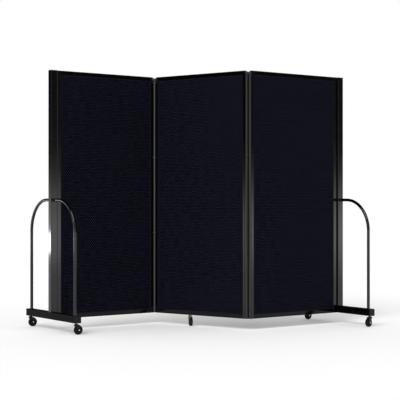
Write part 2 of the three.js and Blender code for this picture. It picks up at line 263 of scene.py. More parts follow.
def clothLook():
    shader, look = Shader("panelCloth"), panelCloth
    flat = shader.node("ShaderNodeUVMap", {"uv_map": "clothMap"})
    across = shader.node("ShaderNodeSeparateXYZ", None, {"Vector": flat}, output="X")
    up = shader.node("ShaderNodeSeparateXYZ", None, {"Vector": flat}, output="Y")

    def wave(place, length):
        return shader.node("ShaderNodeMath", {"operation": "SINE"}, {0: place * (2 * math.pi / length)})

    dots = wave(across, look["dotWidth"]) * wave(up, look["dotHeight"])
    dotMask = shader.between(dots, *look["dotRange"])
    yarns = wave(across, 2 * look["yarn"]) * wave(up, 2 * look["yarn"])
    ribs = wave(across, look["yarn"]) + wave(up, look["yarn"])
    place = shader.place()
    fuzz = shader.noise(place, **look["fuzzNoise"])
    fading = shader.between(shader.noise(place, **look["fadingNoise"]), *look["fadingRange"])
    streaks = shader.node("ShaderNodeMapping", None, {"Vector": flat, "Scale": look["slub"]})
    slub = shader.between(shader.noise(streaks, 1), *look["slubRange"])
    part, relief = look["shade"], look["relief"]
    shade = dotMask * (part["dots"] + slub * part["slub"]) + (yarns + 1) * part["yarns"]
    shade = shade + fuzz * part["fuzz"] + fading * part["fading"]
    height = yarns * relief["yarns"] + ribs * relief["ribs"]
    height = height + dotMask * relief["dots"] + fuzz * relief["fuzz"]
    return shader.surface(
        colour=shader.mix(shade, look["ground"], look["dot"]),
        roughness=look["roughness"] + fuzz * look["fuzzRoughness"],
        specular=look["specular"],
        sheen=look["sheen"],
        sheenRoughness=look["sheenRoughness"],
        normal=shader.bump(height, look["bump"], look["weaveDepth"]),
    )


# Grey board, its fibres drawn out along its height
coreBoard = {
    "dark": tone(40, 40, 38),
    "light": tone(64, 63, 60),
    "fibreNoise": {"scale": 160, "detail": 4, "roughness": 0.65},
    "fibreStretch": (1, 1, 6),
    "roughness": 0.9,
    "specular": 0.2,
    "bump": 0.4,
    "depth": 0.4 * mm,
}


def boardLook():
    shader, look = Shader("coreBoard"), coreBoard
    fibres = shader.noise(shader.place(0, look["fibreStretch"]), **look["fibreNoise"])
    return shader.surface(
        colour=shader.mix(fibres, look["dark"], look["light"]),
        roughness=look["roughness"],
        specular=look["specular"],
        normal=shader.bump(fibres, look["bump"], look["depth"]),
    )


# Moulded and satin-painted pieces: name, darkest and lightest tone, roughness, specular, grain
satinFinishes = {
    "plastic": ("blackPlastic", tone(9, 9, 10), tone(20, 20, 22), 0.38, 0.25, "plain"),
    "web": ("webBlack", tone(4, 4, 5), tone(10, 10, 11), 0.6, 0.1, "fine"),
    # painted highlight: the web's narrow side is light grey to stand in for the lit strip it shows between
    # the noses
    "highlightStrip": ("webPaintedHighlight", tone(78, 79, 83), tone(94, 95, 99), 0.5, 0.3, "fine"),
    "rod": ("rodBlack", tone(5, 5, 6), tone(14, 14, 16), 0.45, 0.2, "fine"),
    # painted highlight: grey on the hinged stiles' round noses, the link block and the link plates stands
    # in for the light along them
    "nose": ("noseHighlightGrey", tone(30, 31, 34), tone(42, 43, 46), 0.36, 0.4, "fine"),
    "fork": ("forkBlack", tone(8, 8, 9), tone(20, 20, 22), 0.32, 0.25, "cast"),
    "bead": ("weldBead", tone(17, 18, 20), tone(30, 31, 34), 0.34, 0.45, "weld"),
}
grains = {  # the noise scale and the depth of each grain
    "plain": (700, 0.08 * mm),
    "fine": (1200, 0.03 * mm),
    "cast": (900, 0.06 * mm),
    "weld": (420, 0.5 * mm),
}
satinWear = {
    "patchNoise": {"scale": 35, "detail": 3},
    "patchRange": (0.4, 0.7),
    "patchShare": 0.5,
    "grainShare": 0.4,
    "patchRoughness": 0.12,
    "bump": 0.5,
}


def satinLook(name, dark, light, roughness, specular, grain):
    shader, look = Shader(name), satinWear
    place = shader.place()
    scale, depth = grains[grain]
    fine = shader.noise(place, scale)
    wide = shader.between(shader.noise(place, **look["patchNoise"]), *look["patchRange"])
    return shader.surface(
        colour=shader.mix(wide * look["patchShare"] + fine * look["grainShare"], dark, light),
        roughness=roughness + wide * look["patchRoughness"],
        specular=specular,
        normal=shader.bump(fine, look["bump"], depth),
    )


# Black rubber with floor grime on it
tyreRubber = {
    "clean": tone(7, 7, 8),
    "grime": tone(26, 25, 24),
    "grimeNoise": {"scale": 90, "detail": 4, "roughness": 0.7},
    "grimeRange": (0.5, 0.75),
    "grimeShare": 0.6,
    "grimeRoughness": 0.25,
    "grainNoise": {"scale": 1100},
    "roughness": 0.62,
    "specular": 0.2,
    "bump": 0.5,
    "depth": 0.15 * mm,
}


def rubberLook():
    shader, look = Shader("tyreRubber"), tyreRubber
    place = shader.place()
    grime = shader.between(shader.noise(place, **look["grimeNoise"]), *look["grimeRange"])
    fine = shader.noise(place, **look["grainNoise"])
    return shader.surface(
        colour=shader.mix(grime * look["grimeShare"], look["clean"], look["grime"]),
        roughness=look["roughness"] + grime * look["grimeRoughness"],
        specular=look["specular"],
        normal=shader.bump(fine + grime, look["bump"], look["depth"]),
    )


# Bright steel, with turning lines round it and dull patches
brightSteel = {
    "bright": tone(205, 207, 210),
    "dull": tone(168, 170, 174),
    "lineNoise": {"scale": 500, "roughness": 0.6},
    "lineStretch": (1, 1, 0.05),
    "patchNoise": {"scale": 60, "detail": 3},
    "patchRange": (0.4, 0.7),
    "roughness": 0.16,
    "patchRoughness": 0.14,
    "bump": 0.3,
    "depth": 0.04 * mm,
}


def brightLook():
    shader, look = Shader("brightSteel"), brightSteel
    lines = shader.noise(shader.place(0, look["lineStretch"]), **look["lineNoise"])
    wide = shader.between(shader.noise(shader.place(), **look["patchNoise"]), *look["patchRange"])
    return shader.surface(
        colour=shader.mix(wide, look["bright"], look["dull"]),
        metallic=1.0,
        roughness=look["roughness"] + wide * look["patchRoughness"],
        normal=shader.bump(lines, look["bump"], look["depth"]),
    )


looks = {key: satinLook(*finish) for key, finish in satinFinishes.items()}
looks["cloth"] = clothLook()
looks["board"] = boardLook()
looks["rubber"] = rubberLook()
looks["bright"] = brightLook()
looks["upright"] = glossBlackLook("glossBlackUpright", 0, "z", specular=0.5)
looks["sideRail"] = glossBlackLook("sideRail", fold, "x", specular=0.2)
looks["middleRail"] = glossBlackLook("middleRail", -fold, "x", specular=0.2)
looks["bar"] = glossBlackLook("glossBlackBar", fold, "y", specular=0.03)
print("materials: made")


# Mesh helpers
def block(bm, low, high):
    made = bmesh.ops.create_cube(bm, size=1)["verts"]
    size = [b - a for a, b in zip(low, high)]
    middle = [(a + b) / 2 for a, b in zip(low, high)]
    bmesh.ops.scale(bm, verts=made, vec=size)
    bmesh.ops.translate(bm, verts=made, vec=middle)
    return made


def roundEdges(bm, edges, offset, segments=3):
    bmesh.ops.bevel(
        bm,
        geom=list(edges),
        offset=offset,
        segments=segments,
        profile=0.5,
        affect="EDGES",
        material=-1,
        clamp_overlap=True,
    )


def edgesOf(verts, test=lambda a, b: True):
    edges = dict.fromkeys(edge for vert in verts for edge in vert.link_edges)  # in the same order each run
    return [edge for edge in edges if test(edge.verts[0].co, edge.verts[1].co)]


def softBlock(bm, low, high, offset, segments=3):
    verts = block(bm, low, high)
    roundEdges(bm, edgesOf(verts), offset, segments)


def turned(bm, outline, steps, closed=False):  # outline: (radius, height) pairs, spun about Z
    verts = [bm.verts.new((radius, 0, height)) for radius, height in outline]
    pairs = list(zip(verts, verts[1:])) + ([(verts[-1], verts[0])] if closed else [])
    edges = [bm.edges.new(pair) for pair in pairs]
    bmesh.ops.spin(
        bm,
        geom=verts + edges,
        cent=(0, 0, 0),
        axis=(0, 0, 1),
        angle=2 * math.pi,
        steps=steps,
        use_merge=True,
    )
    bmesh.ops.remove_doubles(bm, verts=bm.verts, dist=mergeGap)


def looseObject(bm):
    mesh = bpy.data.meshes.new("loose")
    bmesh.ops.recalc_face_normals(bm, faces=bm.faces)
    bm.to_mesh(mesh)
    bm.free()
    made = bpy.data.objects.new("loose", mesh)
    bpy.context.scene.collection.objects.link(made)
    return made


def combined(first, others, operation):
    whole = looseObject(first)
    tools = [looseObject(other) for other in others]
    for tool in tools:
        step = whole.modifiers.new("step", "BOOLEAN")
        step.operation, step.solver, step.object = operation, "EXACT", tool
    bpy.context.view_layer.update()
    result = bmesh.new()
    result.from_object(whole, bpy.context.evaluated_depsgraph_get())
    for piece in [whole, *tools]:
        mesh = piece.data
        bpy.data.objects.remove(piece)
        bpy.data.meshes.remove(mesh)
    return result


sharpAngles = {"frame": 32, "caster": 38, "hoop": 50, "cloth": 60}  # degrees, past which an edge is crisp


def ship(bm, name, body, look, matrix, replaces=(), sharp="frame", keep=False, second=None):
    if keep:
        bm = bm.copy()
    bmesh.ops.transform(bm, matrix=matrix, verts=bm.verts)
    bmesh.ops.recalc_face_normals(bm, faces=bm.faces)
    mesh = bpy.data.meshes.new(name)
    bm.to_mesh(mesh)
    bm.free()
    mesh.shade_smooth()
    mesh.set_sharp_from_angle(angle=math.radians(sharpAngles[sharp]))
    piece = bpy.data.objects.new(name, mesh)
    bpy.context.scene.collection.objects.link(piece)
    piece.data.materials.append(looks[look])
    if second:
        piece.data.materials.append(looks[second])
    weights = piece.modifiers.new("evenShading", "WEIGHTED_NORMAL")
    weights.keep_sharp = True
    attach(piece, body)
    if replaces:
        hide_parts(*replaces)
    return piece


# Panel frames: stiles with a full round nose, and channel rails
panelFrame = {
    "flat": 25 * mm,
    "nose": 9.5 * mm,
    "noseSegments": 12,
    "noseRound": 0.996,  # share of a full half round, so that its two arcs stay apart
    "corner": 1.1 * mm,
    "endCorner": 0.7 * mm,
    "groove": 12 * mm,
    "grooveHalf": 7 * mm,
    "endWall": 4 * mm,
    "rail": 30 * mm,
    "web": 4 * mm,
    "stemHole": 6.3 * mm,
}
fabricHalf = pitch / 2 - panelFrame["flat"]

# What is cut from a hinged stile, measured from its pivot line and its top
hingeCuts = {
    "rodBore": 3.8 * mm,
    "slotHalf": 3.4 * mm,
    "slotDepth": 10.5 * mm,
    "endInset": 40 * mm,
    "count": 4,
    "blockSeat": 24.8 * mm,
    "blockDepth": 11.5 * mm,
    "beadFrom": 6.5 * mm,
    "beadTo": 10 * mm,
    "beadDepth": 2.2 * mm,
}
slotStep = (panelHeight - 2 * hingeCuts["endInset"]) / (hingeCuts["count"] - 1)
slotHeights = [hingeCuts["endInset"] + slotStep * index for index in range(hingeCuts["count"])]


def drilled(radius, low, high, steps=facets["bore"]):  # the cutter of a hole along Z
    bore = bmesh.new()
    turned(bore, [(0, low), (radius, low), (radius, high), (0, high)], steps)
    return bore


def hingeCutters():
    reach, top = panelFrame["nose"] + overrun, panelHeight + overrun
    tall, deep = hingeCuts["slotHalf"], hingeCuts["slotDepth"]
    boxes = [((-reach, -reach, height - tall), (deep, reach, height + tall)) for height in slotHeights]
    seatFoot, seatDepth = panelHeight - hingeCuts["blockSeat"], hingeCuts["blockDepth"]
    boxes.append(((-reach, -reach, seatFoot), (seatDepth, reach, top)))
    for side in (-1, 1):
        first, last = sorted((side * (panelFrame["nose"] - hingeCuts["beadDepth"]), side * reach))
        boxes.append(((hingeCuts["beadFrom"], first, -overrun), (hingeCuts["beadTo"], last, top)))
    cutters = [drilled(hingeCuts["rodBore"], -overrun, top)]
    for low, high in boxes:
        cutter = bmesh.new()
        block(cutter, low, high)
        cutters.append(cutter)
    return cutters


def stile(hinged):
    flat, nose = panelFrame["flat"], panelFrame["nose"]
    bm = bmesh.new()
    verts = block(bm, (-nose, -nose, 0), (flat, nose, panelHeight))
    upright = lambda a, b: abs(a.z - b.z) > nose
    noseEdges = edgesOf(verts, lambda a, b: upright(a, b) and a.x < 0)
    roundEdges(bm, noseEdges, nose * panelFrame["noseRound"], panelFrame["noseSegments"])
    flatEdges = edgesOf(bm.verts, lambda a, b: upright(a, b) and min(a.x, b.x) > flat - near)
    roundEdges(bm, flatEdges, panelFrame["corner"])
    rim = edgesOf(bm.verts, lambda a, b: abs(a.z - b.z) < near)
    roundEdges(bm, rim, panelFrame["endCorner"], segments=2)
    groove = bmesh.new()
    wall, half = panelFrame["endWall"], panelFrame["grooveHalf"]
    block(groove, (flat - panelFrame["groove"], -half, wall), (flat + overlap, half, panelHeight - wall))
    whole = combined(bm, [groove] + (hingeCutters() if hinged else []), "DIFFERENCE")
    for face in whole.faces:
        # the round nose of a hinged stile gets the grey of a painted highlight
        face.material_index = 1 if hinged and face.calc_center_median().x < 0 else 0
    return whole


def rail(stemPlace=None):
    half, nose, tall = fabricHalf - seat, panelFrame["nose"], panelFrame["rail"]
    bm = bmesh.new()
    softBlock(bm, (-half, -nose, 0), (half, nose, tall), panelFrame["corner"])
    groove = bmesh.new()
    inner = panelFrame["grooveHalf"]
    block(groove, (-half - overlap, -inner, panelFrame["web"]), (half + overlap, inner, tall + overlap))
    cutters = [groove]
    if stemPlace is not None:
        hole = drilled(panelFrame["stemHole"], -overrun, panelFrame["web"] + overrun)
        bmesh.ops.translate(hole, verts=hole.verts, vec=(stemPlace, 0, 0))
        cutters.append(hole)
    return combined(bm, cutters, "DIFFERENCE")


# Cloth: pulled flat over the board, its rim turned in beside the frame
clothSizes = {
    "margin": 1.5 * mm,
    "thickness": 1.2 * mm,
    "inner": 7.0 * mm,
    "rim": 1.2 * mm,
    "tuck": 0.5 * mm,
    "turnedIn": 9 * mm,
    "crown": 0.5 * mm,
    "ripple": 0.25 * mm,
    "rippleScale": (3, 1.2, 5),  # across, up, and between the two faces
    "step": 24 * mm,
}
clothWide = 2 * (fabricHalf - clothSizes["margin"])
clothTall = panelHeight - 2 * (panelFrame["rail"] + clothSizes["margin"])


def cloth(side):
    columns, rows = round(clothWide / clothSizes["step"]), round(clothTall / clothSizes["step"])
    bm = bmesh.new()
    bmesh.ops.create_grid(bm, x_segments=columns, y_segments=rows, size=1)
    bmesh.ops.scale(bm, verts=bm.verts, vec=(clothWide / 2, clothTall / 2, 1))
    bmesh.ops.inset_region(
        bm, faces=bm.faces, thickness=clothSizes["rim"], use_even_offset=True, use_boundary=True
    )
    map2d = bm.loops.layers.uv.new("clothMap")
    for face in bm.faces:
        for loop in face.loops:
            loop[map2d].uv = (loop.vert.co.x, loop.vert.co.y)
    across, up, apart = clothSizes["rippleScale"]
    for vert in bm.verts:
        x, y = vert.co.x, vert.co.y
        edge = min(clothWide / 2 - abs(x), clothTall / 2 - abs(y))
        lift = min(1, edge / clothSizes["turnedIn"])
        swell = math.cos(math.pi * x / clothWide) * math.cos(math.pi * y / clothTall)
        ripple = noise.noise(Vector((x * across, y * up, side * apart)))
        vert.co.z = lift * (clothSizes["crown"] * swell + clothSizes["ripple"] * ripple * swell)
        if edge < near:
            vert.co.z = -clothSizes["tuck"]
    bmesh.ops.solidify(bm, geom=list(bm.faces), thickness=-clothSizes["thickness"])
    bmesh.ops.transform(bm, matrix=Matrix.Rotation(math.pi / 2, 4, "X"), verts=bm.verts)
    face = clothSizes["inner"] + clothSizes["thickness"]
    bmesh.ops.translate(bm, verts=bm.verts, vec=(0, -face, panelHeight / 2))
    if side > 0:
        bmesh.ops.transform(bm, matrix=halfTurn, verts=bm.verts)
    return bm


plainStile, hingedStile = stile(False), stile(True)
plainRail = rail()
middleStem = (pivot("middle_caster_swivel") - panelCentre["middle"]).length
stemRail = rail(-middleStem)
rise = Matrix.Translation((0, 0, floorGap))
halfTurn = Matrix.Rotation(math.pi, 4, "Z")
turnedOver = Matrix.Translation((0, 0, screenTop)) @ Matrix.Rotation(math.pi, 4, "X")
stilePairs = {
    "left": (plainStile, hingedStile),
    "middle": (hingedStile, hingedStile),
    "right": (hingedStile, plainStile),
}
for name, (leftStile, rightStile) in stilePairs.items():
    base, body = panelMatrix(name), name + "_panel"
    for end, shape, turn, place in (
        ("left", leftStile, Matrix.Identity(4), -pitch / 2),
        ("right", rightStile, halfTurn, pitch / 2),
    ):
        matrix = base @ Matrix.Translation((place, 0, floorGap)) @ turn
        node = f"{name}_{end}_stile"
        ship(shape, node + "_tube", body, "upright", matrix, [node], keep=True, second="nose")
    railLook = "middleRail" if name == "middle" else "sideRail"
    lowRail = stemRail if name == "middle" else plainRail
    for level, shape, lift in (("top", plainRail, turnedOver), ("bottom", lowRail, rise)):
        node = f"{name}_{level}_rail"
        ship(shape, node + "_channel", body, railLook, base @ lift, [node], keep=True)
    for face, side in (("front", -1), ("back", 1)):
        node = f"{name}_{face}_fabric"
        shape = cloth(side)
        piece = ship(shape, node + "_cloth", body, "cloth", base @ rise, [node], "cloth")
        name + "_core"
for shape in (plainStile, hingedStile, plainRail, stemRail):
    shape.free()
print("panels: built")

# Hinges: a black web with its narrow side painted light grey as a highlight strip, and the noses' painted
# highlight grey on the block and plates
hingeSizes = {
    "spacing": (pivot("left_link_fold") - pivot("left_panel_fold")).length,
    "webGap": 0.6 * mm,
    "webHalf": 6 * mm,
    "webJoin": 0.5 * mm,
    "inset": 1 * mm,
    "plateHalf": 3 * mm,
    "waist": 3 * mm,
    "blockRadius": 10.5 * mm,
    "blockLow": 24.4 * mm,
    "blockHigh": 8.4 * mm,
    "edge": 0.6 * mm,
    "cutterEdge": 0.1 * mm,
    "rod": 3.5 * mm,
    "rodEdge": 0.8 * mm,
}
blockLow, blockHigh = panelHeight - hingeSizes["blockLow"], panelHeight - hingeSizes["blockHigh"]


def pin(radius, low, high, edge, place=0):
    outline = [(0, low), (radius - edge, low), (radius, low + edge)]
    outline += [(radius, high - edge), (radius - edge, high), (0, high)]
    bm = bmesh.new()
    turned(bm, outline, facets["pin"])
    bmesh.ops.translate(bm, verts=bm.verts, vec=(place, 0, 0))
    return bm


def pinPair(radius, low, high, edge):
    half = hingeSizes["spacing"] / 2
    return [pin(radius, low, high, edge, place) for place in (-half, half)]


def hingeLink(radius, waist, low, high):
    half = hingeSizes["spacing"] / 2
    bridge = bmesh.new()
    verts = block(bridge, (-half, -waist, low), (half, waist, high))
    roundEdges(bridge, edgesOf(verts, lambda a, b: abs(a.x - b.x) > half), hingeSizes["edge"], segments=1)
    whole = combined(bridge, pinPair(radius, low, high, hingeSizes["edge"]), "UNION")
    bores = pinPair(hingeCuts["rodBore"], low - overlap, high + overlap, hingeSizes["cutterEdge"])
    return combined(whole, bores, "DIFFERENCE")


# The web's half towards +Y is flared round the noses, and the other half stays narrow.
def hingeWeb():
    deep, curve = hingeSizes["webHalf"], panelFrame["nose"] + hingeSizes["webGap"]
    narrow = hingeSizes["spacing"] / 2 - curve
    low, high = hingeSizes["inset"], blockLow + overlap
    flared = bmesh.new()
    block(flared, (-2 * narrow, 0, low), (2 * narrow, deep, high))
    noses = pinPair(curve, low - overlap, high + overlap, hingeSizes["cutterEdge"])
    flared = combined(flared, noses, "DIFFERENCE")
    front = bmesh.new()
    block(front, (-narrow, -deep, low), (narrow, hingeSizes["webJoin"], high))
    whole = combined(flared, [front], "UNION")
    for face in whole.faces:
        # the narrow side towards -Y gets the light grey of a painted highlight
        face.material_index = 1 if face.calc_center_median().y < near - deep else 0
    return whole


linkBlock = hingeLink(hingeSizes["blockRadius"], hingeSizes["blockRadius"], blockLow, blockHigh)
plateHalf = hingeSizes["plateHalf"]
linkPlate = hingeLink(panelFrame["nose"], hingeSizes["waist"], -plateHalf, plateHalf)
web = hingeWeb()
for name, turn in (("left", 0), ("right", math.pi)):
    middle = (pivot(name + "_link_fold") + pivot(name + "_panel_fold")) / 2
    upright = Matrix.Translation((middle.x, middle.y, floorGap))
    base, body, spine = upright @ Matrix.Rotation(turn, 4, "Z"), name + "_link", [name + "_hinge_spine"]
    ship(web, name + "_hinge_web", body, "web", base, spine, keep=True, second="highlightStrip")
    ship(linkBlock, name + "_hinge_block", body, "nose", base, keep=True)
    for index, height in enumerate(slotHeights, 1):
        lifted = base @ Matrix.Translation((0, 0, height))
        ship(linkPlate, f"{name}_hinge_link_{index}", body, "nose", lifted, keep=True)
    low, high = hingeSizes["inset"], panelHeight - hingeSizes["inset"]
    rods = pinPair(hingeSizes["rod"], low, high, hingeSizes["rodEdge"])
    for end, rod in zip(("left", "right"), rods):
        node = f"{name}_hinge_{end}_rod"
        ship(rod, node + "_turned", body, "rod", upright, [node])
for shape in (linkBlock, linkPlate, web):
    shape.free()
print("hinges: built")

# End units: post, cap, base bar with end plugs, and hoop
endUnit = {
    "postWide": 50 * mm,
    "postDeep": 40 * mm,
    "postGap": 0.8 * mm,
    "corner": 3 * mm,
    "cornerSegments": 5,
    "barHeight": 50 * mm,
    "barHalf": 355 * mm,
    "plug": 2.5 * mm,
    "plugCorner": 1.2 * mm,
    "cap": 3 * mm,
    "capCorner": 1.2 * mm,
    "capSkirt": 12 * mm,
    "skirtCorner": 1 * mm,
    "wall": 2.5 * mm,
    "bead": 1.8 * mm,
    "beadInset": 0.1 * mm,
    "beadKnee": (0.75, 0.55),  # shares of the bead, outwards and up
    "beadRound": 0.8,
}
hoopSizes = {
    "height": 917 * mm,
    "halfSpan": 316 * mm,
    "radius": 11 * mm,
    "bend": 225 * mm,
    "segments": 28,
    "bendSteps": 14,
}
barTop = floorGap + endUnit["barHeight"]
postOffset = pitch / 2 + panelFrame["nose"] + endUnit["postGap"] + endUnit["postWide"] / 2


def roundedBar(low, high, axis):
    bm = bmesh.new()
    verts = block(bm, low, high)
    lengthwise = edgesOf(verts, lambda a, b: abs(a[axis] - b[axis]) > near)
    roundEdges(bm, lengthwise, endUnit["corner"], endUnit["cornerSegments"])
    return bm


def post():
    wide, deep = endUnit["postWide"] / 2, endUnit["postDeep"] / 2
    top = screenTop - endUnit["cap"] - seat
    bm = roundedBar((-wide, -deep, barTop + seat), (wide, deep, top), 2)
    reach = deep + overrun
    passage = drilled(hoopSizes["radius"] + seat, -reach, reach, facets["pin"])
    across = Matrix.Translation((0, 0, hoopSizes["height"])) @ Matrix.Rotation(math.pi / 2, 4, "X")
    bmesh.ops.transform(passage, matrix=across, verts=passage.verts)
    return combined(bm, [passage], "DIFFERENCE")


def postCap():
    wide, deep = endUnit["postWide"] / 2, endUnit["postDeep"] / 2
    under = screenTop - endUnit["cap"]
    bm = roundedBar((-wide, -deep, under), (wide, deep, screenTop), 2)
    topEdges = edgesOf(bm.verts, lambda a, b: min(a.z, b.z) > screenTop - near)
    roundEdges(bm, topEdges, endUnit["capCorner"])
    inset = endUnit["wall"] + seat
    wide, deep = wide - inset, deep - inset
    low, high = (-wide, -deep, under - endUnit["capSkirt"]), (wide, deep, under + overlap)
    skirt = bmesh.new()
    softBlock(skirt, low, high, endUnit["skirtCorner"], segments=2)
    return combined(bm, [skirt], "UNION")


def baseBar():
    half, end = endUnit["postWide"] / 2, endUnit["barHalf"] - endUnit["plug"]
    return roundedBar((-half, -end, floorGap), (half, end, barTop), 1)


def barPlug(side):
    half, end = endUnit["postWide"] / 2, endUnit["barHalf"]
    first, last = sorted((side * (end - endUnit["plug"]), side * end))
    bm = roundedBar((-half, first, floorGap), (half, last, barTop), 1)
    outside = edgesOf(bm.verts, lambda a, b: min(side * a.y, side * b.y) > end - near)
    roundEdges(bm, outside, endUnit["plugCorner"])
    return bm


def hoop():
    foot, start = barTop + seat, hoopSizes["height"] - hoopSizes["bend"]
    centre = hoopSizes["halfSpan"] - hoopSizes["bend"]
    sides, radius = hoopSizes["segments"], hoopSizes["radius"]
    bm = bmesh.new()
    ring = bmesh.ops.create_circle(bm, segments=sides, radius=radius, cap_ends=False)["verts"]
    bmesh.ops.translate(bm, verts=ring, vec=(0, -hoopSizes["halfSpan"], foot))

    def edgesIn(made):
        return [part for part in made if isinstance(part, bmesh.types.BMEdge)]

    def run(rim, vector):
        made = bmesh.ops.extrude_edge_only(bm, edges=rim)["geom"]
        moved = [part for part in made if isinstance(part, bmesh.types.BMVert)]
        bmesh.ops.translate(bm, verts=moved, vec=vector)
        return [edge for edge in edgesIn(made) if all(vert in moved for vert in edge.verts)]

    def bend(rim, place):
        made = bmesh.ops.spin(
            bm,
            geom=rim,
            cent=place,
            axis=(1, 0, 0),
            angle=-math.pi / 2,
            steps=hoopSizes["bendSteps"],
        )
        return edgesIn(made["geom_last"])

    rim = run(edgesOf(ring), (0, 0, start - foot))
    rim = bend(rim, (0, -centre, start))
    rim = run(rim, (0, 2 * centre, 0))
    rim = bend(rim, (0, centre, start))
    run(rim, (0, 0, foot - start))
    bmesh.ops.remove_doubles(bm, verts=bm.verts, dist=mergeGap)
    bmesh.ops.holes_fill(bm, edges=[edge for edge in bm.edges if edge.is_boundary], sides=0)
    return bm


def hoopBead():  # a fillet of weld round the hoop, its axis on Z
    radius, bead = hoopSizes["radius"], endUnit["bead"]
    out, up = endUnit["beadKnee"]
    bm = bmesh.new()
    outline = [(radius, 0), (radius + bead, 0), (radius + bead * out, bead * up), (radius, bead)]
    turned(bm, outline, facets["collar"], closed=True)
    return bm


def postBead():
    deep, bead, inset = endUnit["postDeep"] / 2, endUnit["bead"], endUnit["beadInset"]
    wide = endUnit["postWide"] / 2 - inset
    low, high = (-wide, -deep - bead, barTop - inset), (wide, deep + bead, barTop + bead)
    bm = bmesh.new()
    softBlock(bm, low, high, bead * endUnit["beadRound"])
    return bm


unitShapes = {  # shape, CAD node, slot, look, sharp angle
    "post_tube": (post(), "post", "stand_frame", "upright", "frame"),
    "post_top": (postCap(), "post_cap", "black_plastic", "plastic", "frame"),
    "bar_tube": (baseBar(), "base_bar", "stand_frame", "bar", "frame"),
    "hoop_tube": (hoop(), "hoop", "hoop_tube", "upright", "hoop"),
}
for name, side in (("left", -1), ("right", 1)):
    body = name + "_panel"
    unit = panelMatrix(name) @ Matrix.Translation((side * postOffset, 0, 0))
    for piece, (shape, node, slotName, look, sharp) in unitShapes.items():
        ship(shape, f"{name}_{piece}", body, look, unit, [f"{name}_{node}"], sharp, keep=True)
    ship(postBead(), name + "_post_weld", body, "bead", unit)
    for end, way in (("front", -1), ("back", 1)):
        ship(barPlug(way), f"{name}_bar_{end}_plug", body, "plastic", unit)
        foot = unit @ Matrix.Translation((0, way * hoopSizes["halfSpan"], barTop))
        entry = unit @ Matrix.Translation((0, way * endUnit["postDeep"] / 2, hoopSizes["height"]))
        entry = entry @ Matrix.Rotation(-way * math.pi / 2, 4, "X")
        for where, matrix in (("foot", foot), ("post", entry)):
            ship(hoopBead(), f"{name}_hoop_{end}_{where}_weld", body, "bead", matrix)
for shape, *_ in unitShapes.values():
    shape.free()
print("end units: built")

# Casters, each built once with its swivel axis on Z and its wheel trailing towards +X
wheelSizes = {
    "radius": 32 * mm,
    "half": 9 * mm,
    "round": 4.5 * mm,
    "edge": 0.6 * mm,
    "hub": 23 * mm,
    "rim": 2.5 * mm,
    "web": 3 * mm,
    "boss": 7 * mm,
    "bossEdge": 0.5 * mm,
    "bossFillet": 0.8 * mm,
    "rimFillet": 1.2 * mm,
    "draft": 0.4 * mm,
    "bore": 3.3 * mm,
    "ribs": 6,
    "ribHalf": 1 * mm,
    "ribInset": 1.6 * mm,
    "ribCorner": 0.5 * mm,
}
forkSizes = {
    "inside": 10.2 * mm,
    "plate": 2 * mm,
    "topPlate": 3 * mm,
    "topHalf": 12.5 * mm,
    "bossRadius": 8 * mm,
    "bossRound": 0.98,  # share of a full half round, so that its two arcs stay apart
    "backDrop": 4 * mm,
    "frontDrop": 2 * mm,
    "waistRound": 4 * mm,
    "clearTop": 3 * mm,
    "collar": 11 * mm,
    "lip": 0.8 * mm,
    "edge": 0.6 * mm,
}
stemSizes = {
    "radius": 6 * mm,
    "flange": 13 * mm,
    "flangeThick": 3 * mm,
    "rise": 14 * mm,
    "head": 8.5 * mm,
    "headThick": 1.2 * mm,
    "lip": 0.5 * mm,
}
boltSizes = {
    "radius": 3 * mm,
    "head": 5.5 * mm,
    "length": 4 * mm,
    "dome": 1.5 * mm,
    "edge": 0.3 * mm,
    "dimple": 1.6 * mm,
    "dimpleDepth": 0.5 * mm,
}
trail = (pivot("middle_caster_roll") - pivot("middle_caster_swivel")).xy.length
axleHeight = pivot("middle_caster_roll").z
wheelTop = 2 * axleHeight
forkUnder = wheelTop + forkSizes["clearTop"]
forkTop = forkUnder + forkSizes["topPlate"]
wheelTurn = Matrix.Translation((trail, 0, axleHeight)) @ Matrix.Rotation(math.pi / 2, 4, "X")


def quarter(radius, height, corner, steps=5):  # a quarter round of an outline, from its side to its end
    turns = [math.pi / 2 * step / steps for step in range(steps + 1)]
    return [(radius + corner * math.cos(turn), height + corner * math.sin(turn)) for turn in turns]


def underside(outline):
    return [(radius, -height) for radius, height in reversed(outline)]


def tyre():
    outer, half, corner, edge = (wheelSizes[key] for key in ("radius", "half", "round", "edge"))
    bore = wheelSizes["hub"] + seat
    shoulder = reversed(quarter(outer - corner, half - corner, corner))
    upper = [(bore, half - edge), (bore + edge, half), *shoulder]
    bm = bmesh.new()
    turned(bm, upper + [(outer, 0)] + underside(upper), facets["wheel"], closed=True)
    bmesh.ops.transform(bm, matrix=wheelTurn, verts=bm.verts)
    return bm


def hub():
    sizes = wheelSizes
    boss, half, web = sizes["boss"], sizes["half"], sizes["web"]
    bossEnd, inner = forkSizes["inside"] - seat, sizes["hub"] - sizes["rim"]
    upper = [
        (sizes["bore"], bossEnd),
        (boss - sizes["bossEdge"], bossEnd),
        (boss, bossEnd - sizes["bossEdge"]),
        (boss + sizes["bossFillet"], web + sizes["bossFillet"]),
        (boss + 2 * sizes["bossFillet"], web),
        (inner - sizes["rimFillet"], web),
        (inner, web + sizes["rimFillet"]),
        (inner + sizes["draft"], half),
        (sizes["hub"], half),
    ]
    bm = bmesh.new()
    turned(bm, upper + underside(upper), facets["wheel"], closed=True)
    thick, reach = sizes["ribHalf"], half - sizes["ribInset"]
    ribs = []
    for index in range(sizes["ribs"]):
        rib = bmesh.new()
        low, high = (boss - overlap, -thick, -reach), (inner + overlap, thick, reach)
        softBlock(rib, low, high, sizes["ribCorner"], segments=2)
        spoke = Matrix.Rotation(2 * math.pi * index / sizes["ribs"], 4, "Z")
        bmesh.ops.transform(rib, matrix=spoke, verts=rib.verts)
        ribs.append(rib)
    bm = combined(bm, ribs, "UNION")
    bmesh.ops.transform(bm, matrix=wheelTurn, verts=bm.verts)
    return bm


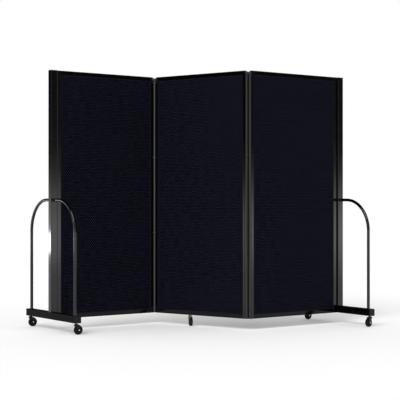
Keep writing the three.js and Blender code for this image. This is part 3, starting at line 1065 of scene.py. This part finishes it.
def bolt():
    head, dome, edge, dimple = (boltSizes[key] for key in ("head", "dome", "edge", "dimple"))
    under = forkSizes["inside"] + forkSizes["plate"] + seat
    crown = under + boltSizes["length"]
    dimpleFloor = crown - boltSizes["dimpleDepth"]
    upper = [(boltSizes["radius"], under), (head - edge, under), (head, under + edge)]
    upper += quarter(head - dome, crown - dome, dome)
    upper += [(dimple, crown), (dimple - edge, dimpleFloor), (0, dimpleFloor)]
    bm = bmesh.new()
    turned(bm, underside(upper) + upper, facets["bolt"])
    bmesh.ops.transform(bm, matrix=wheelTurn, verts=bm.verts)
    return bm


def roundCorners(bm, corners, offset, segments):
    bmesh.ops.bevel(
        bm, geom=corners, offset=offset, segments=segments, profile=0.5, affect="VERTICES", material=-1
    )


def cheek(side):  # one side plate of the fork, tapering to a round boss at the axle
    sizes = forkSizes
    boss, half = sizes["bossRadius"], sizes["topHalf"]
    shoulder = axleHeight + boss / 2
    outline = [
        (-half, forkTop),
        (-half, forkUnder - sizes["backDrop"]),
        (trail - boss, shoulder),
        (trail - boss, axleHeight - boss),
        (trail + boss, axleHeight - boss),
        (trail + boss, forkUnder - sizes["frontDrop"]),
        (half, forkTop),
    ]
    plate = bmesh.new()
    verts = [plate.verts.new((x, side * sizes["inside"], z)) for x, z in outline]
    plate.faces.new(verts)
    foot = [vert for vert in verts if vert.co.z < axleHeight - boss / 2]
    roundCorners(plate, foot, boss * sizes["bossRound"], segments=10)
    waist = [vert for vert in plate.verts if abs(vert.co.z - shoulder) < near and vert.co.x < trail]
    roundCorners(plate, waist, sizes["waistRound"], segments=5)
    thick = bmesh.ops.extrude_face_region(plate, geom=list(plate.faces))["geom"]
    moved = [part for part in thick if isinstance(part, bmesh.types.BMVert)]
    bmesh.ops.translate(plate, verts=moved, vec=(0, side * sizes["plate"], 0))
    outside = sizes["inside"] + sizes["plate"]
    rim = [e for e in plate.edges if all(abs(abs(v.co.y) - outside) < near for v in e.verts)]
    roundEdges(plate, rim, sizes["edge"], segments=2)
    return plate


def fork():
    sizes = forkSizes
    half, outside = sizes["topHalf"], sizes["inside"] + sizes["plate"]
    bridge = bmesh.new()
    softBlock(bridge, (-half, -outside, forkUnder), (half, outside, forkTop), sizes["edge"], segments=2)
    radius, bore, lip = sizes["collar"], stemSizes["radius"] + seat, sizes["lip"]
    collarTop, collarFoot = floorGap - stemSizes["flangeThick"] - 2 * seat, forkUnder + overlap
    outline = [
        (bore, collarFoot),
        (radius, collarFoot),
        (radius, collarTop - 3 * lip),
        (radius - lip / 2, collarTop - 2 * lip),
        (radius, collarTop - lip),
        (radius - lip, collarTop),
        (bore, collarTop),
    ]
    collar = bmesh.new()
    turned(collar, outline, facets["collar"], closed=True)
    whole = combined(bridge, [collar, cheek(-1), cheek(1)], "UNION")
    drill = drilled(bore, forkUnder - overrun, collarTop + overlap, facets["collar"])
    reach = outside + overlap
    cross = drilled(boltSizes["radius"] + seat, -reach, reach)
    bmesh.ops.transform(cross, matrix=wheelTurn, verts=cross.verts)
    return combined(whole, [drill, cross], "DIFFERENCE")


def stem():
    sizes = stemSizes
    radius, head, flange, lip = (sizes[key] for key in ("radius", "head", "flange", "lip"))
    flangeTop = floorGap - seat
    flangeUnder = flangeTop - sizes["flangeThick"]
    headTop = forkUnder - seat
    headUnder = headTop - sizes["headThick"]
    top = flangeTop + sizes["rise"]
    outline = [
        (0, headUnder),
        (head - lip, headUnder),
        (head, headUnder + lip),
        (head, headTop),
        (radius, headTop),
        (radius, flangeUnder),
        (flange - lip, flangeUnder),
        (flange, flangeUnder + lip),
        (flange, flangeTop - lip),
        (flange - lip, flangeTop),
        (radius, flangeTop),
        (radius, top - 2 * lip),
        (radius - 2 * lip, top),
        (0, top),
    ]
    bm = bmesh.new()
    turned(bm, outline, facets["pin"])
    return bm


casterShapes = {
    "stem": (stem(), None, "bright_steel", "bright"),
    "fork": (fork(), "fork", "caster_steel", "fork"),
    "axle": (bolt(), "fork", "bright_steel", "bright"),
    "hub": (hub(), "wheel", "black_plastic", "plastic"),
    "tyre": (tyre(), "wheel", "tyre_rubber", "rubber"),
}
casterNames = [name[: -len("_swivel")] for name in joints if name.endswith("_swivel")]
for name in casterNames:
    swivel, roll = pivot(name + "_swivel"), pivot(name + "_roll")
    heading = math.atan2(roll.y - swivel.y, roll.x - swivel.x)
    place = Matrix.Translation((swivel.x, swivel.y, 0)) @ Matrix.Rotation(heading, 4, "Z")
    for part, (shape, moving, slotName, look) in casterShapes.items():
        body = f"{name}_{moving}" if moving else joints[name + "_swivel"]["parent"]
        node = f"{name}_{part}"
        ship(shape, node + "_turned", body, look, place, [node], sharp="caster", keep=True)
for shape, *_ in casterShapes.values():
    shape.free()
print("casters: built,", len(casterNames))

# The boards stay as the CAD has them.
for piece in frame["nodes"].values():
    if not piece.hide_render:
        piece.data.materials.clear()
        piece.data.materials.append(looks["board"])

# White floor, with a little light of its own so that it stays white up to the shadow
floorSizes = {"half": 7.0, "white": 0.96, "roughness": 0.9, "glow": 0.12}
grey = lambda value: (value, value, value, 1)
bm = bmesh.new()
bmesh.ops.create_grid(bm, x_segments=1, y_segments=1, size=floorSizes["half"])
floorMesh = bpy.data.meshes.new("studioFloor")
bm.to_mesh(floorMesh)
bm.free()
floor = bpy.data.objects.new("studioFloor", floorMesh)
bpy.context.scene.collection.objects.link(floor)
shader = Shader("studioFloor")
shader.surface(colour=grey(floorSizes["white"]), roughness=floorSizes["roughness"], specular=0.0)
glow = shader.node("ShaderNodeEmission", None, {"Color": grey(1), "Strength": floorSizes["glow"]})
paint = Wire(shader, shader.tree.nodes["Principled BSDF"].outputs[0])
both = shader.node("ShaderNodeAddShader", None, {0: paint, 1: glow})
shader.feed(shader.tree.nodes["Material Output"].inputs["Surface"], both)
floor.data.materials.append(shader.owner)

# Matt faces see an even dome. Gloss mirrors a soft band of light at the horizon, dark above it
# and dimmer towards the floor, or plain grey where it faces the camera's side.
dome = 0.62
lightBand = {
    "left": {"dim": 0.5, "bright": 1.6, "dark": 0.02},
    "right": {"dim": 0.6, "bright": 2.3, "dark": 0.1},
    "heights": (-0.2, 0.2),
    "dimEdge": 0.3,
    "middle": 0.42,
    "darkEdge": 0.6,
    "leftToRight": (-0.2, 0.2),
    "front": 0.9,
    "toFront": (-0.55, -0.9),
}
world = bpy.data.worlds.new("studio")
bpy.context.scene.world = world
sky = Shader("studio", world)
lightPath = lambda output: sky.node("ShaderNodeLightPath", output=output)
direction = sky.node("ShaderNodeTexCoord", output="Generated")
aim = lambda axis: sky.node("ShaderNodeSeparateXYZ", None, {"Vector": direction}, output=axis)
share = sky.between(aim("Z"), *lightBand["heights"])


def horizon(side):
    levels, edges = lightBand[side], (lightBand["dimEdge"], lightBand["middle"], lightBand["darkEdge"])
    stops = [(edge, grey(levels[level])) for edge, level in zip(edges, ("dim", "bright", "dark"))]
    return sky.node("ShaderNodeValToRGB", {"stops": stops}, {"Fac": share})


around = sky.mix(sky.between(aim("X"), *lightBand["leftToRight"]), horizon("left"), horizon("right"))
glossy = sky.mix(sky.between(aim("Y"), *lightBand["toFront"]), around, grey(lightBand["front"]))
rays = {0: lightPath("Is Glossy Ray"), 1: lightPath("Is Transmission Ray")}
mirrored = sky.node("ShaderNodeMath", {"operation": "MAXIMUM"}, rays)
seen = sky.mix(mirrored, grey(dome), glossy)
seen = sky.mix(lightPath("Is Camera Ray"), seen, grey(1))
sky.feed(sky.tree.nodes["Background"].inputs["Color"], seen)
sky.feed(sky.tree.nodes["Background"].inputs["Strength"], 1.0)

# A low lamp on the left, aimed at the left end unit, and a soft sun
sideLamp = {
    "size": (0.9, 0.22),
    "energy": 0.36,
    "spread": math.radians(40),
    "place": (-5.0, 1.6, 0.46),
    "target": (-1.06, -0.26, 0.6),
}
softSun = {"energy": 1.5, "angle": math.radians(35), "turn": (math.radians(48), 0, math.radians(-28))}
side = bpy.data.objects.new("sideLamp", bpy.data.lights.new("sideLamp", "AREA"))
side.data.shape = "RECTANGLE"
side.data.size, side.data.size_y = sideLamp["size"]
side.data.energy = sideLamp["energy"]
side.data.spread = sideLamp["spread"]
side.location = sideLamp["place"]
side.rotation_euler = (Vector(sideLamp["target"]) - side.location).to_track_quat("-Z", "Y").to_euler()
side.visible_camera = False
bpy.context.scene.collection.objects.link(side)
sun = bpy.data.objects.new("softSun", bpy.data.lights.new("softSun", "SUN"))
sun.data.energy = softSun["energy"]
sun.data.angle = softSun["angle"]
sun.rotation_euler = softSun["turn"]
bpy.context.scene.collection.objects.link(sun)
bpy.context.scene.view_settings.view_transform = "Standard"
print("studio: set")
